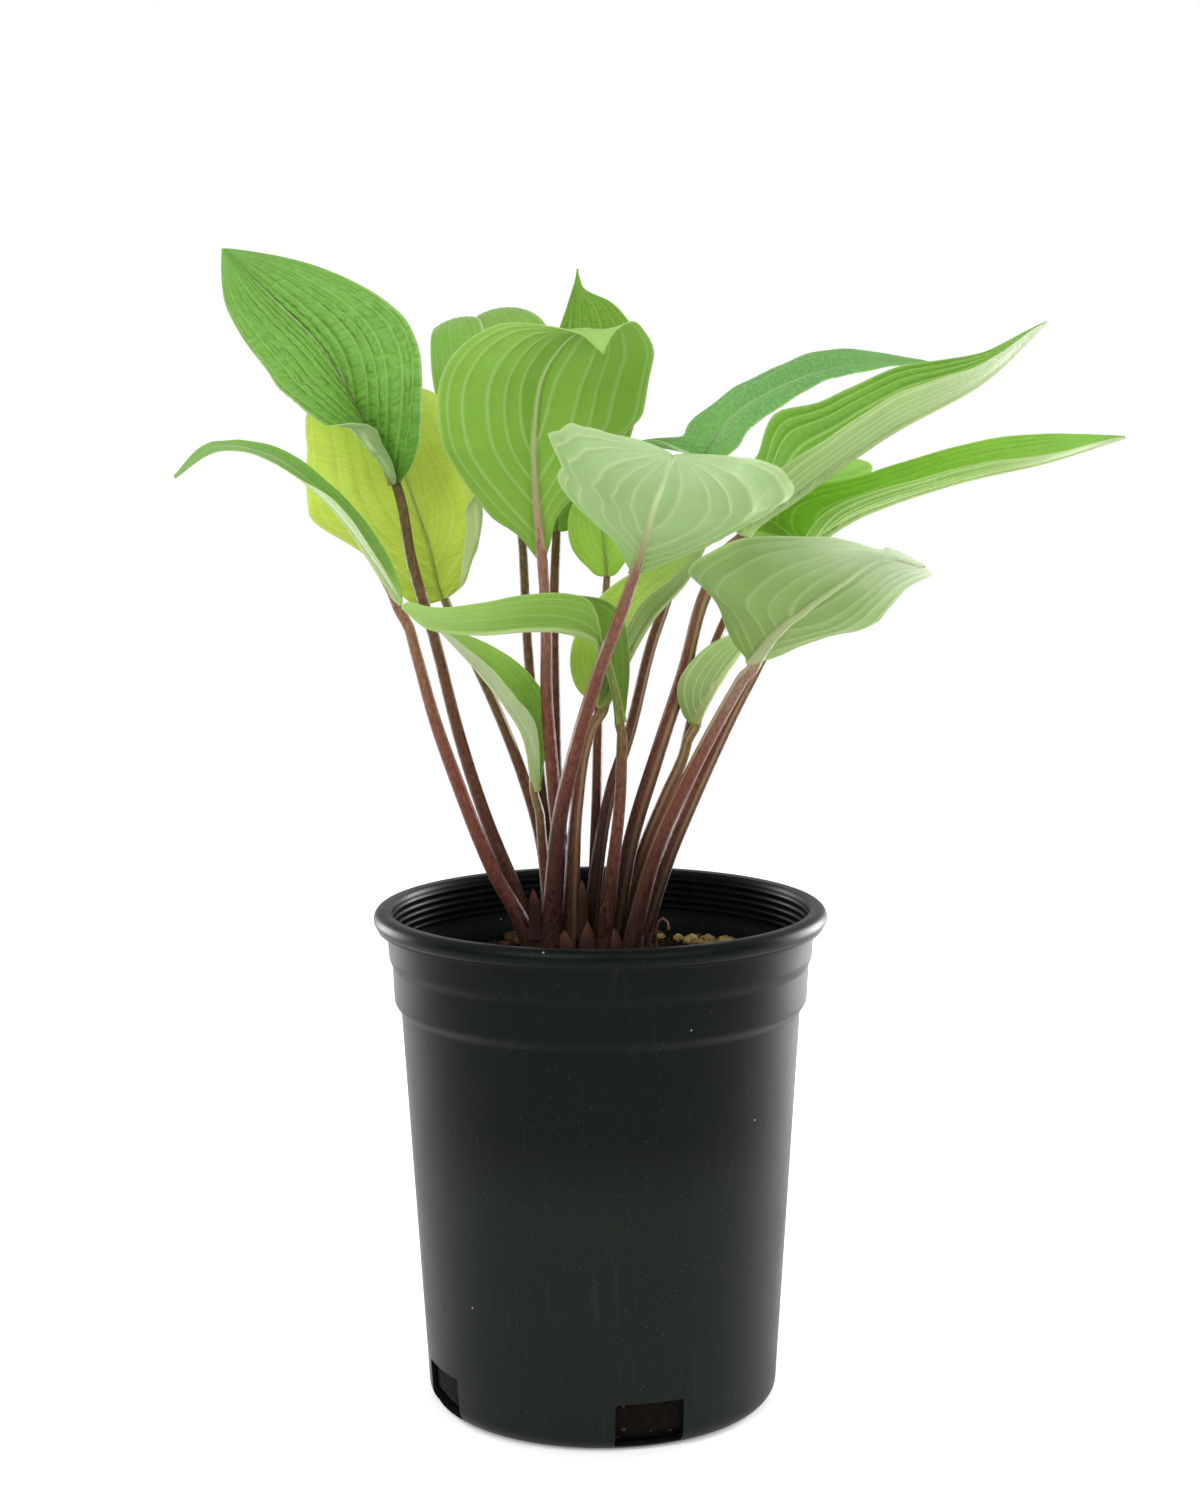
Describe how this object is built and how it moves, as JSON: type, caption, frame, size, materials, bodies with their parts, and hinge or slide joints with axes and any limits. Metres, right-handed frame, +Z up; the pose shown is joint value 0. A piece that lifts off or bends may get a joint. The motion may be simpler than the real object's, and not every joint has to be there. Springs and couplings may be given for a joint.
{
  "type": "potted hosta plant",
  "caption": "Young hosta standing in a round black nursery pot: broad ribbed green leaves on slim red-brown stems that fan out from dark soil.",
  "frame": {"origin": "on the pot's axis, in the plane that the pot stands on", "axes": "+Z up; -Y to the front, the side that the picture shows, with a drain notch near it; +X to the right of it"},
  "size_m": [0.3406, 0.2387, 0.4216],
  "materials": {
    "pot_plastic": "moulded black polypropylene, satin, dusty and lightly scuffed",
    "soil": "damp dark potting mix of ground bark and peat, with bark chips",
    "stem": "smooth red-brown leaf stalks, speckled, grooved on the upper side",
    "blade": "ribbed green leaf blades, satin above and paler and matt below"
  },
  "bodies": {
    "root": {"pot": "pot_plastic", "soil": "soil", "leaf_tall_left_stem": "stem", "leaf_tall_left_blade": "blade", "leaf_low_left_stem": "stem", "leaf_low_left_blade": "blade", "leaf_back_left_stem": "stem", "leaf_back_left_blade": "blade", "leaf_centre_stem": "stem", "leaf_centre_blade": "blade", "leaf_strap_stem": "stem", "leaf_strap_blade": "blade", "leaf_front_stem": "stem", "leaf_front_blade": "blade", "leaf_folded_stem": "stem", "leaf_folded_blade": "blade", "leaf_small_centre_stem": "stem", "leaf_small_centre_blade": "blade", "leaf_blue_right_stem": "stem", "leaf_blue_right_blade": "blade", "leaf_high_right_stem": "stem", "leaf_high_right_blade": "blade", "leaf_long_right_stem": "stem", "leaf_long_right_blade": "blade", "leaf_back_right_stem": "stem", "leaf_back_right_blade": "blade", "leaf_front_right_stem": "stem", "leaf_front_right_blade": "blade", "leaf_small_right_stem": "stem", "leaf_small_right_blade": "blade", "leaf_back_centre_stem": "stem", "leaf_back_centre_blade": "blade", "leaf_top_stem": "stem", "leaf_top_blade": "blade", "leaf_small_left_stem": "stem", "leaf_small_left_blade": "blade"}
  },
  "joints": []
}
